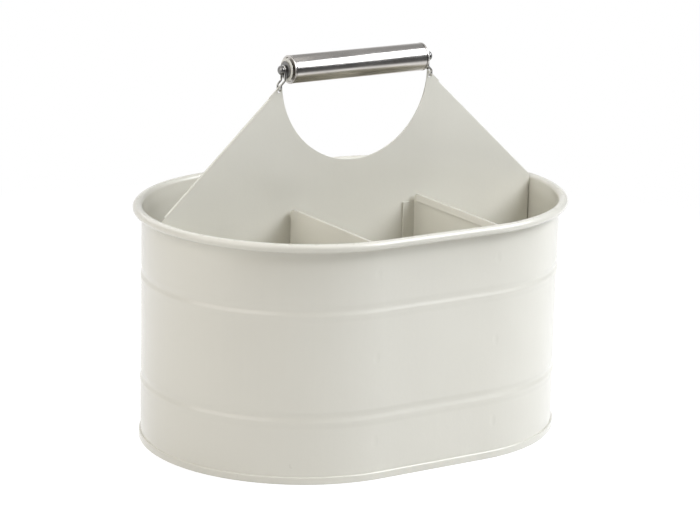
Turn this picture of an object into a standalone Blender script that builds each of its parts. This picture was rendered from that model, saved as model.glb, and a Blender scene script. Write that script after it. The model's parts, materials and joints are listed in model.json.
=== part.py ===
"""Oval bottle carrier in painted sheet steel, with six compartments and a steel tube handle.

The tub is a wall with a wired rim and two rolled beads, seamed to a raised base. Each bead is
a groove with a low ridge under it. A tall centre divider with a round cut-out carries the
handle: a tube that spins on a rod, hung from the two peaks of the divider by wire links.
Metres, +Z up, long axis along X, front towards -Y. The origin is on the surface that the
carrier stands on, under its middle.
"""

from math import asin, atan2, cos, hypot, pi, radians, sin, sqrt

import bmesh
import bpy
from mathutils import Matrix, Vector

# Clearances
GAP = 0.0003                  # between pieces that touch
RUNNING_GAP = 0.00035         # between the rod and what turns or hangs on it

# Tub
END_RADIUS = 0.0880           # outside of the wall at its round ends
HALF_STRAIGHT = 0.0340        # half the straight length of each side
TUB_HEIGHT = 0.1336           # top of the rolled rim
TUB_SHEET = 0.0006
RIM_DIAMETER = 0.0055
RIM_CURL_END = radians(-125)  # where the curl stops, measured from its outer side
BEAD_HEIGHTS = (0.0378, 0.0968)  # bottom of each bead's groove above the ground
GROOVE_WIDTH = 0.0048
GROOVE_DEPTH = 0.00035
RIDGE_WIDTH = 0.0060
RIDGE_DEPTH = 0.00045         # how far the ridge under the groove stands out
RIDGE_DROP = 0.0036           # from the groove down to the ridge

# Base
BASE_SHEET = 0.0006
BASE_RISE = 0.0045            # underside of the panel above the ground
SEAM_HEIGHT = 0.0042

# Dividers
DIVIDER_SHEET = 0.0007
HEM_WIDTH = 0.0041
HEM_ROUND = 0.00015           # how far the fold stands past the sheet it is folded from
FLANGE_WIDTH = 0.0080
FLANGE_END_MARGIN = 0.0060    # flange stops this far inside the edge it is bent from

# Centre divider
PEAK_RISE = 0.0677            # top of each peak above the rim
PEAK_WIDTH = 0.0015           # from the cut-out's widest point out to where the slope is that high
SLOPE_FALL = 0.9050           # fall of the sloping edge for each unit outwards
CUTOUT_RADIUS = 0.0476
CUTOUT_RISE = 0.0019          # centre of the round cut-out above the top of the peaks
PEAK_ROUND = 0.0005           # radius at the top of each peak
CENTRE_END_GAP = 0.0004       # between the end flange and the wall, at the flange's edge
PEAK_HOLE_RADIUS = 0.0011
PEAK_HOLE_MARGIN = 0.0017     # from the cut-out's widest point out to the hole's centre
PEAK_BAR = 0.0008             # sheet left between the hole and the slope
HEM_START = 0.0090            # hem starts this far down the slope from the peak

# Cross dividers
CROSS_REACH = 0.0410          # from the middle
CROSS_DROP = 0.0019           # top edge below the rim
CROSS_CORNER = 0.0040         # radius of the corner by the centre divider

# Handle
GRIP_RADIUS = 0.00775
GRIP_WALL = 0.0008
GRIP_END_MARGIN = 0.0052      # the tube ends this far inside the cut-out's widest point
GRIP_RISE = 0.0085            # rod above the top of the peaks
ROD_RADIUS = 0.00125
CAP_LIP = 0.00015             # how far the cap's flange stands past the tube
CAP_FLANGE = 0.0008
CAP_PLUG = 0.0060
CAP_DISH = 0.0010             # depth of the dished face
CAP_RING = 0.0011             # width of the ring around the dish
COLLAR_RADIUS = 0.0032
COLLAR_LENGTH = 0.0006        # how far the collar stands past the flange
DISC_RADIUS = 0.0063
DISC_THICKNESS = 0.0006
WASHER_RADIUS = 0.0048
WASHER_THICKNESS = 0.0006
LINK_WIRE = 0.0006            # radius of the link's wire
LINK_FOOT = 0.0018            # radius of the link's wire line round the peak
LINK_EYE = 0.00225            # radius of the link's wire line round the rod
NUT_RADIUS = 0.0026
NUT_SKIRT = 0.0005
NUT_LENGTH = 0.0023
ROD_IN_NUT = 0.0010

# Steps
END_STEPS = 24                # around each end of the tub
CUTOUT_STEPS = 36
CURL_STEPS = 12
BEAD_STEPS = 8
WIRE_SIDES = 8
TURN_STEPS = 32

# Sizes that follow
WALL_INSIDE = END_RADIUS - TUB_SHEET - GROOVE_DEPTH
WALL_BOTTOM = BASE_SHEET + GAP
FLOOR = BASE_RISE + BASE_SHEET
DIVIDER_BOTTOM = FLOOR + GAP
PEAK_HEIGHT = TUB_HEIGHT + PEAK_RISE
PEAK_REACH = CUTOUT_RADIUS + PEAK_WIDTH
PEAK_HOLE_REACH = CUTOUT_RADIUS + PEAK_HOLE_MARGIN
CUTOUT_CENTRE = PEAK_HEIGHT + CUTOUT_RISE
CROSS_TOP = TUB_HEIGHT - CROSS_DROP
GRIP_HEIGHT = PEAK_HEIGHT + GRIP_RISE
GRIP_HALF_LENGTH = CUTOUT_RADIUS - GRIP_END_MARGIN
HALF_SHEET = DIVIDER_SHEET / 2
CURL_INSIDE = RIM_DIAMETER / 2 - TUB_SHEET
CURL_CENTRE = TUB_HEIGHT - RIM_DIAMETER / 2
FLANGE_TOP = CURL_CENTRE - RIM_DIAMETER / 2
SLOPE_LENGTH = hypot(1.0, SLOPE_FALL)
FLANGE_EDGE_DEPTH = sqrt(WALL_INSIDE ** 2 - FLANGE_WIDTH ** 2)
CENTRE_END = HALF_STRAIGHT + FLANGE_EDGE_DEPTH - CENTRE_END_GAP
PEAK_HOLE_HEIGHT = (PEAK_HEIGHT - SLOPE_FALL * (PEAK_HOLE_REACH - PEAK_REACH)
                    - (PEAK_BAR + PEAK_HOLE_RADIUS) * SLOPE_LENGTH)
SLOPE_OVER_HOLE = PEAK_HEIGHT - SLOPE_FALL * (PEAK_HOLE_REACH - PEAK_REACH)
SWING_HEIGHT = (PEAK_HOLE_HEIGHT + PEAK_HOLE_RADIUS + SLOPE_OVER_HOLE) / 2
BORE = ROD_RADIUS + RUNNING_GAP
CAP_FACE = GRIP_HALF_LENGTH + GAP + CAP_FLANGE
DISC_INSIDE = CAP_FACE + COLLAR_LENGTH + GAP
WASHER_INSIDE = DISC_INSIDE + DISC_THICKNESS + GAP
LINK_REACH = WASHER_INSIDE + WASHER_THICKNESS + GAP + LINK_WIRE
NUT_INSIDE = LINK_REACH + LINK_WIRE + GAP
ROD_HALF_LENGTH = NUT_INSIDE + ROD_IN_NUT


def clear_scene():
    """Remove what the scene holds before the model is made."""
    for item in list(bpy.data.objects):
        bpy.data.objects.remove(item, do_unlink=True)


def new_collection(name):
    """Return a new collection linked to the scene."""
    collection = bpy.data.collections.new(name)
    bpy.context.scene.collection.children.link(collection)
    return collection


def new_material(name, colour, roughness, metallic):
    """Return a Principled material."""
    material = bpy.data.materials.new(name)
    material.use_nodes = True
    shader = material.node_tree.nodes["Principled BSDF"]
    shader.inputs["Base Color"].default_value = (*colour, 1.0)
    shader.inputs["Roughness"].default_value = roughness
    shader.inputs["Metallic"].default_value = metallic
    material.diffuse_color = (*colour, 1.0)
    return material


def add_object(name, mesh, material, collection):
    """Link a mesh as a named object and shade its round faces smooth."""
    mesh.name = name
    mesh.materials.clear()
    mesh.materials.append(material)
    mesh.shade_smooth()
    mesh.set_sharp_from_angle(angle=radians(35))
    item = bpy.data.objects.new(name, mesh)
    collection.objects.link(item)
    return item


def oval_surface(profile, closed, outward):
    """Sweep a profile of (offset, height) points around the oval plan of the tub.

    The offset counts outwards from the outside of the wall. The profile is spun about the centre
    of one end, drawn out along the straight sides and mirrored. The faces end up facing the
    direction given by outward, tested on the face that starts the profile.
    """
    work = bmesh.new()
    verts = [work.verts.new((HALF_STRAIGHT, -(END_RADIUS + offset), height))
             for offset, height in profile]
    edges = [work.edges.new(pair) for pair in zip(verts, verts[1:])]
    if closed:
        edges.append(work.edges.new((verts[-1], verts[0])))
    spun = bmesh.ops.spin(work, geom=verts + edges, cent=(HALF_STRAIGHT, 0, 0), axis=(0, 0, 1),
                          angle=pi, steps=END_STEPS)
    last = [part for part in spun["geom_last"] if isinstance(part, bmesh.types.BMEdge)]
    for side in (edges, last):
        drawn = bmesh.ops.extrude_edge_only(work, edges=side)["geom"]
        moved = [part for part in drawn if isinstance(part, bmesh.types.BMVert)]
        bmesh.ops.translate(work, verts=moved, vec=(-HALF_STRAIGHT, 0, 0))
    everything = work.verts[:] + work.edges[:] + work.faces[:]
    bmesh.ops.mirror(work, geom=everything, matrix=Matrix(), merge_dist=1e-6, axis='X')
    bmesh.ops.recalc_face_normals(work, faces=work.faces[:])
    first = Vector((0, -(END_RADIUS + (profile[0][0] + profile[1][0]) / 2),
                    (profile[0][1] + profile[1][1]) / 2))
    probe = min(work.faces, key=lambda face: (face.calc_center_median() - first).length)
    if not closed and probe.normal.dot(Vector(outward)) < 0:
        bmesh.ops.reverse_faces(work, faces=work.faces[:])
    return work


def finish_bmesh(work, name):
    """Turn a bmesh into mesh data."""
    mesh = bpy.data.meshes.new(name)
    work.to_mesh(mesh)
    work.free()
    return mesh


def add_thickness(item, thickness):
    """Give an open surface a wall on the side away from its normals."""
    solid = item.modifiers.new("sheet", 'SOLIDIFY')
    solid.thickness = thickness
    solid.offset = -1.0
    solid.use_even_offset = True
    solid.use_quality_normals = True


def swell(distance, width):
    """Smooth hump of height 1 and the given width, at a distance from its middle."""
    return cos(pi * distance / width) ** 2 if abs(distance) < width / 2 else 0.0


def bead_offset(above):
    """How far the wall stands out at a height above the bottom of a bead's groove."""
    ridge = RIDGE_DEPTH * swell(above + RIDGE_DROP, RIDGE_WIDTH)
    return ridge - GROOVE_DEPTH * swell(above, GROOVE_WIDTH)


def wall_profile():
    """Outside face of the wall from the bottom up, then round the inside of the curl."""
    points = [(0.0, WALL_BOTTOM)]
    low = -RIDGE_DROP - RIDGE_WIDTH / 2
    high = GROOVE_WIDTH / 2
    for groove in BEAD_HEIGHTS:
        for step in range(BEAD_STEPS + 1):
            above = low + (high - low) * step / BEAD_STEPS
            points.append((bead_offset(above), groove + above))
    for step in range(CURL_STEPS + 1):
        angle = pi + (RIM_CURL_END - pi) * step / CURL_STEPS
        points.append((CURL_INSIDE * (1 + cos(angle)), CURL_CENTRE + CURL_INSIDE * sin(angle)))
    return points


def make_wall(paint, parts):
    """Wall of the tub with its beads and rolled rim."""
    work = oval_surface(wall_profile(), False, (0, -1, 0))
    wall = add_object("tub_wall", finish_bmesh(work, "tub_wall"), paint, parts)
    add_thickness(wall, TUB_SHEET)


def make_rim_wire(steel, parts):
    """Wire that the rim is rolled around."""
    radius = CURL_INSIDE - GAP
    circle = []
    for step in range(WIRE_SIDES):
        angle = 2 * pi * step / WIRE_SIDES
        circle.append((CURL_INSIDE + radius * cos(angle), CURL_CENTRE + radius * sin(angle)))
    work = oval_surface(circle, True, (0, -1, 0))
    add_object("rim_wire", finish_bmesh(work, "rim_wire"), steel, parts)


def make_base(paint, parts):
    """Raised base panel whose edge is folded round the bottom of the wall."""
    inner = -(TUB_SHEET + GAP + BASE_SHEET)
    outer = GAP + BASE_SHEET
    profile = [(inner, BASE_RISE), (inner, 0.0), (outer, 0.0), (outer, SEAM_HEIGHT)]
    work = oval_surface(profile, False, (0, 1, 0))
    rim = [edge for edge in work.edges
           if edge.is_boundary and abs(edge.verts[0].co.z - BASE_RISE) < GAP / 10
           and abs(edge.verts[1].co.z - BASE_RISE) < GAP / 10]
    panel = bmesh.ops.contextual_create(work, geom=rim)["faces"]
    if panel[0].normal.z > 0:
        bmesh.ops.reverse_faces(work, faces=panel)
    base = add_object("base_pan", finish_bmesh(work, "base_pan"), paint, parts)
    add_thickness(base, BASE_SHEET)


def flat_sheet(name, loops, low, high, plane):
    """Cut a flat sheet from closed outlines; the first is the edge and the rest are holes.

    The outlines are (along, height) points. In plane XZ along is X and the sheet lies from low
    to high in Y. In plane YZ along is Y and it lies from low to high in X.
    """
    curve = bpy.data.curves.new(name, 'CURVE')
    curve.dimensions = '2D'
    curve.fill_mode = 'BOTH'
    curve.extrude = 0.5
    for loop in loops:
        spline = curve.splines.new('POLY')
        spline.points.add(len(loop) - 1)
        for point, (along, height) in zip(spline.points, loop):
            point.co = (along, height, 0.0, 1.0)
        spline.use_cyclic_u = True
    flat = bpy.data.objects.new(name, curve)
    bpy.context.scene.collection.objects.link(flat)
    evaluated = flat.evaluated_get(bpy.context.evaluated_depsgraph_get())
    mesh = bpy.data.meshes.new_from_object(evaluated)
    bpy.data.objects.remove(flat, do_unlink=True)
    work = bmesh.new()
    work.from_mesh(mesh)
    bmesh.ops.remove_doubles(work, verts=work.verts[:], dist=1e-7)
    for vert in work.verts:
        along, height, side = vert.co
        depth = high if side > 0 else low
        if plane == 'XZ':
            vert.co = (along, depth, height)
        else:
            vert.co = (depth, along, height)
    bmesh.ops.recalc_face_normals(work, faces=work.faces[:])
    work.to_mesh(mesh)
    work.free()
    return mesh


def join_sheets(item, sheets, material, cutters):
    """Join further sheets to a sheet as one piece of metal."""
    for count, mesh in enumerate(sheets, 1):
        other = add_object(f"{item.name}_fold_{count}", mesh, material, cutters)
        other.hide_render = True
        other.display_type = 'WIRE'
        union = item.modifiers.new(f"fold_{count}", 'BOOLEAN')
        union.operation = 'UNION'
        union.solver = 'EXACT'
        union.object = other


def rectangle(left, right, bottom, top):
    """Four corners, anticlockwise."""
    return [(left, bottom), (right, bottom), (right, top), (left, top)]


def arc(centre, radius, start, end, steps):
    """Points along an arc, both ends included."""
    points = []
    for step in range(steps + 1):
        angle = start + (end - start) * step / steps
        points.append((centre[0] + radius * cos(angle), centre[1] + radius * sin(angle)))
    return points


def slope_height(reach):
    """Height of the sloping edge at a distance from the middle."""
    return PEAK_HEIGHT - SLOPE_FALL * (reach - PEAK_REACH)


def peak_round():
    """Centre of the rounding between the slope and the round cut-out, and its two ends."""
    normal = (SLOPE_FALL / SLOPE_LENGTH, 1.0 / SLOPE_LENGTH)
    reach = CUTOUT_RADIUS + PEAK_ROUND
    for _ in range(20):
        height = slope_height(reach) - PEAK_ROUND * SLOPE_LENGTH
        reach = sqrt((CUTOUT_RADIUS + PEAK_ROUND) ** 2 - (height - CUTOUT_CENTRE) ** 2)
    return (reach, height), atan2(normal[1], normal[0])


def centre_outline():
    """Outline of the centre divider: two slopes, two peaks and a round cut-out."""
    (reach, height), slope_angle = peak_round()
    start = atan2(height - CUTOUT_CENTRE, reach)
    right = arc((reach, height), PEAK_ROUND, slope_angle, start + pi, 5)
    left = [(-along, up) for along, up in reversed(right)]
    cutout = arc((0.0, CUTOUT_CENTRE), CUTOUT_RADIUS, start, -pi - start, CUTOUT_STEPS)
    end = CENTRE_END - HALF_SHEET
    outline = [(-end, DIVIDER_BOTTOM), (end, DIVIDER_BOTTOM), (end, slope_height(end))]
    outline += right + cutout[1:-1] + left
    outline.append((-end, slope_height(end)))
    return outline


def centre_hem(side):
    """Strip folded back along one slope of the centre divider, as an outline."""
    normal = (SLOPE_FALL / SLOPE_LENGTH, 1.0 / SLOPE_LENGTH)
    top = PEAK_REACH + HEM_START / SLOPE_LENGTH
    bottom = CENTRE_END - HALF_SHEET - HEM_WIDTH / 2
    points = []
    for reach, offset in ((bottom, HEM_ROUND), (top, HEM_ROUND), (top, -HEM_WIDTH),
                          (bottom, -HEM_WIDTH)):
        points.append((side * (reach + normal[0] * offset),
                       slope_height(reach) + normal[1] * offset))
    return points


def make_centre_divider(paint, parts, cutters):
    """Tall sheet along the middle, with hemmed slopes, end flanges and a hole in each peak."""
    loops = [centre_outline()]
    for side in (-1, 1):
        hole = arc((side * PEAK_HOLE_REACH, PEAK_HOLE_HEIGHT), PEAK_HOLE_RADIUS, 0, 2 * pi, 16)
        loops.append(hole[:-1])
    mesh = flat_sheet("centre_divider", loops, -HALF_SHEET, HALF_SHEET, 'XZ')
    divider = add_object("centre_divider", mesh, paint, parts)
    folds = []
    for side in (-1, 1):
        folds.append(flat_sheet("hem", [centre_hem(side)], -HALF_SHEET / 2,
                                HALF_SHEET + DIVIDER_SHEET, 'XZ'))
        near, far = sorted((side * (CENTRE_END - DIVIDER_SHEET), side * CENTRE_END))
        flange = rectangle(-HALF_SHEET / 2, FLANGE_WIDTH, DIVIDER_BOTTOM + FLANGE_END_MARGIN,
                           FLANGE_TOP - GAP)
        folds.append(flat_sheet("flange", [flange], near, far, 'YZ'))
    join_sheets(divider, folds, paint, cutters)


def make_cross_divider(name, x_side, y_side, paint, parts, cutters):
    """Low sheet from the centre divider to the wall, hemmed and flanged towards the middle."""
    inner = HALF_SHEET + GAP
    end_depth = sqrt(WALL_INSIDE ** 2 - max(CROSS_REACH + HALF_SHEET - HALF_STRAIGHT, 0) ** 2)
    outer = end_depth - GAP
    half = HALF_SHEET
    edge_in = inner + half
    edge_out = outer - half
    outline = [(edge_in, DIVIDER_BOTTOM), (edge_out, DIVIDER_BOTTOM), (edge_out, CROSS_TOP)]
    outline += arc((inner + CROSS_CORNER, CROSS_TOP - CROSS_CORNER), CROSS_CORNER - half,
                   pi / 2, pi, 6)
    outline[3] = (outline[3][0], CROSS_TOP)
    placed = [(y_side * along, up) for along, up in outline]
    centre = x_side * CROSS_REACH
    mesh = flat_sheet(name, [placed], centre - half, centre + half, 'YZ')
    divider = add_object(name, mesh, paint, parts)
    towards = -x_side
    folded = sorted((centre - towards * half / 2, centre + towards * (half + DIVIDER_SHEET)))
    hem_start = inner + CROSS_CORNER
    hem = rectangle(*sorted((y_side * hem_start, y_side * (edge_out - half))),
                    CROSS_TOP - HEM_WIDTH, CROSS_TOP + HEM_ROUND)
    folds = [flat_sheet("hem", [hem], *folded, 'YZ')]
    reach = sorted((centre - towards * half / 2, centre + towards * FLANGE_WIDTH))
    low = DIVIDER_BOTTOM + FLANGE_END_MARGIN
    high = CROSS_TOP - HEM_WIDTH - FLANGE_END_MARGIN
    for near, far in ((inner, inner + DIVIDER_SHEET), (outer - DIVIDER_SHEET, outer)):
        folds.append(flat_sheet("flange", [rectangle(*reach, low, high)],
                                *sorted((y_side * near, y_side * far)), 'XZ'))
    join_sheets(divider, folds, paint, cutters)


def turned(name, profile, side, steps, material, parts, parent):
    """Turn a profile of (radius, distance outwards) points about the rod's axis.

    The profile runs anticlockwise with the radius to the right, and is turned over so that its
    outer side runs down. It is closed unless it starts on the axis. A side of -1 makes the piece
    face the other way.
    """
    work = bmesh.new()
    verts = [work.verts.new((radius, 0, out)) for radius, out in reversed(profile)]
    for pair in zip(verts, verts[1:]):
        work.edges.new(pair)
    if profile[0][0] > 0:
        work.edges.new((verts[-1], verts[0]))
    item = add_object(name, finish_bmesh(work, name), material, parts)
    screw = item.modifiers.new("turn", 'SCREW')
    screw.steps = steps
    screw.render_steps = steps
    screw.use_merge_vertices = True
    screw.merge_threshold = 1e-6
    screw.use_smooth_shade = True
    item.parent = parent
    item.rotation_euler = (0, side * pi / 2, 0)
    return item


def make_handle(steel, paint, plated, parts):
    """Tube, caps, rod, discs, washers, links and dome nuts."""
    swing = bpy.data.objects.new("swing_axis", None)
    swing.location = (0, 0, SWING_HEIGHT)
    parts.objects.link(swing)
    spin = bpy.data.objects.new("grip_axis", None)
    spin.parent = swing
    spin.location = (0, 0, GRIP_HEIGHT - SWING_HEIGHT)
    parts.objects.link(spin)

    inside = GRIP_RADIUS - GRIP_WALL
    edge = GRIP_WALL / 4
    half = GRIP_HALF_LENGTH
    tube = [(inside, -half), (GRIP_RADIUS - edge, -half), (GRIP_RADIUS, edge - half),
            (GRIP_RADIUS, half - edge), (GRIP_RADIUS - edge, half), (inside, half)]
    turned("grip_tube", tube, 1, TURN_STEPS, steel, parts, spin)
    rod = [(0.0, -ROD_HALF_LENGTH), (ROD_RADIUS, -ROD_HALF_LENGTH),
           (ROD_RADIUS, ROD_HALF_LENGTH), (0.0, ROD_HALF_LENGTH)]
    turned("handle_rod", rod, 1, TURN_STEPS // 2, plated, parts, spin)

    plug = inside - GAP
    lip = GRIP_RADIUS + CAP_LIP
    floor = CAP_FACE - CAP_DISH
    bevel = CAP_FLANGE / 4
    collar_end = CAP_FACE + COLLAR_LENGTH
    cap = [(BORE, half - CAP_PLUG), (plug, half - CAP_PLUG), (plug, half + GAP),
           (lip, half + GAP), (lip, CAP_FACE - bevel), (lip - bevel, CAP_FACE),
           (lip - CAP_RING, CAP_FACE), (lip - CAP_RING - bevel, floor),
           (COLLAR_RADIUS, floor), (COLLAR_RADIUS, collar_end), (BORE, collar_end)]
    disc = ring_profile(DISC_RADIUS, DISC_INSIDE, DISC_THICKNESS)
    washer = ring_profile(WASHER_RADIUS, WASHER_INSIDE, WASHER_THICKNESS)
    for side, word in ((-1, "left"), (1, "right")):
        turned(f"end_cap_{word}", cap, side, TURN_STEPS, steel, parts, spin)
        turned(f"spacer_disc_{word}", disc, side, TURN_STEPS - 4, paint, parts, spin)
        turned(f"washer_{word}", washer, side, TURN_STEPS - 8, plated, parts, spin)
        turned(f"dome_nut_{word}", nut_profile(), side, TURN_STEPS - 8, plated, parts, spin)
        make_link(f"link_{word}", side, plated, parts, swing)


def ring_profile(radius, start, thickness):
    """Flat ring on the rod with a broken outer edge."""
    bevel = thickness / 4
    return [(BORE, start), (radius - bevel, start), (radius, start + bevel),
            (radius, start + thickness - bevel), (radius - bevel, start + thickness),
            (BORE, start + thickness)]


def nut_profile():
    """Dome nut with a blind bore, from the bore's mouth round the dome to the bore's floor."""
    bore_end = NUT_INSIDE + ROD_IN_NUT + GAP
    shoulder = NUT_INSIDE + NUT_SKIRT
    rise = NUT_LENGTH - NUT_SKIRT
    points = [(0.0, bore_end), (BORE, bore_end), (BORE, NUT_INSIDE), (NUT_RADIUS, NUT_INSIDE)]
    for step in range(6):
        angle = pi / 2 * step / 5
        points.append((NUT_RADIUS * cos(angle), shoulder + rise * sin(angle)))
    points[-1] = (0.0, NUT_INSIDE + NUT_LENGTH)
    return points


def link_line():
    """Closed line of the link's wire, on its side towards +X, around the swing axis.

    It lies in two planes across X: one through the hole in the peak and one outside the washer,
    with the two strands leaning from one to the other.
    """
    rise = GRIP_HEIGHT - SWING_HEIGHT
    lean = asin((LINK_EYE - LINK_FOOT) / rise)
    foot = arc((0.0, 0.0), LINK_FOOT, -pi + lean, -lean, 10)
    eye = arc((0.0, rise), LINK_EYE, -lean, pi + lean, 12)
    crank_low = LINK_FOOT * 0.7
    crank_high = rise - LINK_EYE * 0.5
    strand = 7
    outline = list(foot)
    for step in range(1, strand):
        share = step / strand
        outline.append((foot[-1][0] + (eye[0][0] - foot[-1][0]) * share,
                        foot[-1][1] + (eye[0][1] - foot[-1][1]) * share))
    outline += eye
    for step in range(1, strand):
        share = step / strand
        outline.append((eye[-1][0] + (foot[0][0] - eye[-1][0]) * share,
                        eye[-1][1] + (foot[0][1] - eye[-1][1]) * share))
    line = []
    for across, up in outline:
        share = min(max((up - crank_low) / (crank_high - crank_low), 0.0), 1.0)
        share = share * share * (3 - 2 * share)
        line.append((PEAK_HOLE_REACH + (LINK_REACH - PEAK_HOLE_REACH) * share, across, up))
    return line


def make_link(name, side, plated, parts, swing):
    """Closed wire link from the hole in a peak to the rod."""
    curve = bpy.data.curves.new(name, 'CURVE')
    curve.dimensions = '3D'
    curve.bevel_depth = LINK_WIRE
    curve.bevel_resolution = 2
    line = link_line()
    spline = curve.splines.new('POLY')
    spline.points.add(len(line) - 1)
    for point, (out, across, up) in zip(spline.points, line):
        point.co = (side * out, across, up, 1.0)
    spline.use_cyclic_u = True
    curve.materials.append(plated)
    link = bpy.data.objects.new(name, curve)
    link.parent = swing
    parts.objects.link(link)


def build():
    """Make the whole carrier."""
    clear_scene()
    parts = new_collection("bottle_carrier")
    cutters = new_collection("bottle_carrier_cutters")
    paint = new_material("cream_paint", (0.72, 0.69, 0.58), 0.38, 0.0)
    steel = new_material("polished_steel", (0.62, 0.60, 0.57), 0.22, 1.0)
    plated = new_material("plated_steel", (0.55, 0.54, 0.52), 0.30, 1.0)
    make_wall(paint, parts)
    make_rim_wire(plated, parts)
    make_base(paint, parts)
    make_centre_divider(paint, parts, cutters)
    for x_side, x_word in ((-1, "left"), (1, "right")):
        for y_side, y_word in ((-1, "front"), (1, "back")):
            name = f"cross_divider_{y_word}_{x_word}"
            make_cross_divider(name, x_side, y_side, paint, parts, cutters)
    make_handle(steel, paint, plated, parts)


build()
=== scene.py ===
"""Oval bottle carrier in cream enamelled sheet steel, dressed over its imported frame.

Run as a script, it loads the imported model, makes a finer piece over each plain solid, gives every
surface its finish and sets up a pale studio. Sizes are in metres, in the frame of the model: +Z
up, the long axis along X, the front towards -Y.
"""

import json
from math import asin, atan2, cos, hypot, pi, radians, sin, sqrt

import bmesh
import bpy
from bpy.props import FloatProperty, FloatVectorProperty, PointerProperty
from mathutils import Matrix, Vector


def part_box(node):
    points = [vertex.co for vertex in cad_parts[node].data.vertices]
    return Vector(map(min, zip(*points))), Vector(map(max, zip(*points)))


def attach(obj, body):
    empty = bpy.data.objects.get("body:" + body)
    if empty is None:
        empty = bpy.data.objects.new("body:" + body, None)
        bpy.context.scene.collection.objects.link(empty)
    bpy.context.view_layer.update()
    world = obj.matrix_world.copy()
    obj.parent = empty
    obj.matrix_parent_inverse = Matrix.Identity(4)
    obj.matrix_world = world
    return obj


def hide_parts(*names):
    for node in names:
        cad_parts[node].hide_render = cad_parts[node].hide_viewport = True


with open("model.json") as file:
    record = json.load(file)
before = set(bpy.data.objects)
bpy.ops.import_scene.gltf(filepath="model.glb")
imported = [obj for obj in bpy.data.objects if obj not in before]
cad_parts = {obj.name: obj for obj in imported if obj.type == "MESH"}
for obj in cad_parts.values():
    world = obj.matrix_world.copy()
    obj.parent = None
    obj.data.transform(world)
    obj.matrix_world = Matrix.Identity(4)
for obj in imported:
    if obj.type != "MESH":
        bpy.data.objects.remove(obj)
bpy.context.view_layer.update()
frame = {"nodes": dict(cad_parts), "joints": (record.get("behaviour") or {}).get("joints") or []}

bl_info = {
    "name": "Enamelled Bottle Carrier",
    "version": (1, 0, 0),
    "blender": (4, 5, 0),
    "location": "View3D > Sidebar > Carrier",
    "description": "Dresses a sheet-steel bottle carrier over its packed frame",
    "category": "Object",
}

# Places that come from the frame
WALL_LOW, WALL_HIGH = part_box("tub_wall")
BASE_LOW, BASE_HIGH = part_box("base_pan")
CENTRE_LOW, CENTRE_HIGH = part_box("centre_divider")
CROSS_LOW, CROSS_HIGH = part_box("cross_divider_back_right")
TUBE_LOW, TUBE_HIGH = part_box("grip_tube")
ROD_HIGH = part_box("handle_rod")[1]
CAP_LOW, CAP_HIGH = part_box("end_cap_right")
DISC_LOW, DISC_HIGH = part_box("spacer_disc_right")
WASHER_LOW, WASHER_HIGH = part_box("washer_right")
NUT_LOW, NUT_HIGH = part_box("dome_nut_right")
LINK_LOW, LINK_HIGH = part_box("link_right")
SWING_HEIGHT = next(joint["pos_m"][2] for joint in frame["joints"]
                    if joint["name"] == "handle_swing")
GRIP_HEIGHT = (TUBE_LOW.z + TUBE_HIGH.z) / 2
HALF_STRAIGHT = WALL_HIGH.x - WALL_HIGH.y

# Spot welds of the low dividers on the wall: how far they lie from the middle, one from the next
# and the lowest from the floor, where a mark's flat middle and its edge end, and how far heights
# count in it, which makes it taller than wide
WELD_REACH = (CROSS_LOW.x + CROSS_HIGH.x) / 2 + 0.0015
WELD_STEP = 0.0465
WELD_LOW = WALL_HIGH.z - 0.0190 - 2 * WELD_STEP
WELD_MIDDLE = 0.0006
WELD_EDGE = 0.0022
WELD_STRETCH = 0.6

# Place, size and colour of each lamp; its power is one of the studio's settings
LAMPS = {
    "right": ((0.770, -0.690, 0.970), (1.20, 0.74), (0.93, 0.955, 1.0)),
    "left": ((-1.120, -0.160, 0.820), (1.5, 1.35), (1.0, 0.970, 0.935)),
    "back": ((-0.190, 1.070, 1.020), (1.2, 1.0), (0.97, 0.98, 1.0)),
    "top": ((0.0, 0.05, 2.0), (1.3, 1.3), (1.0, 0.98, 0.95)),
}

CREASE = radians(38)  # an edge sharper than this is shaded as an edge
BEVELLED = radians(50)  # an edge sharper than this is rounded
STRAIGHT = radians(178)  # an outline's corner wider than this stays as it is
TINY = 1e-6  # joins vertices and takes up rounding


# Settings

def metres(name, about, default):
    """A length."""
    return FloatProperty(name=name, description=about, default=default, unit='LENGTH')


def degrees(name, about, default):
    """An angle, given in degrees."""
    return FloatProperty(name=name, description=about, default=radians(default), subtype='ANGLE')


def watts(name, about, default):
    """The power of a lamp."""
    return FloatProperty(name=name, description=about, default=default, unit='POWER')


def rgb(name, about, default):
    """A colour."""
    return FloatVectorProperty(name=name, description=about, default=default, subtype='COLOR',
                               size=3)


class TubSettings(bpy.types.PropertyGroup):
    """Sizes of the tub: the wall, its beads and rim, and the base."""

    sheet: metres("Sheet", "Thickness of the steel", 0.0006)
    rim: metres("Rim", "Diameter of the rolled rim", 0.0055)
    rim_squash: FloatProperty(name="Rim squash", description="Height of the rim to its width",
                              default=0.84)
    curl_end: degrees("Curl end", "Where the curl of the rim stops", -125)
    bead_heights: FloatVectorProperty(name="Beads", description="Heights of the two beads' tops",
                                      size=2, default=(0.0407, 0.0997), unit='LENGTH')
    groove_depth: metres("Groove depth", "Depth of a bead's groove", 0.00046)
    groove_run: metres("Groove run", "From a bead's top to its groove", 0.0036)
    ridge_height: metres("Ridge height", "How far the ridge stands out", 0.00036)
    ridge_run: metres("Ridge run", "From the groove down to the ridge", 0.0029)
    foot_run: metres("Foot run", "From the ridge to the plain wall", 0.0040)
    neck_width: metres("Neck width", "Height of the drawn-in neck", 0.0110)
    neck_depth: metres("Neck depth", "How far the wall is drawn in there", 0.00028)
    seam_gap: metres("Seam gap", "Play between the wall and the base", 0.0003)
    fold: metres("Fold", "Radius of the folds of the base", 0.00055)
    roll: metres("Roll", "Radius of the base's rolled upper edge", 0.00085)
    panel_margin: metres("Panel margin", "Width of the strip round the base's panel", 0.003)


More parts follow.
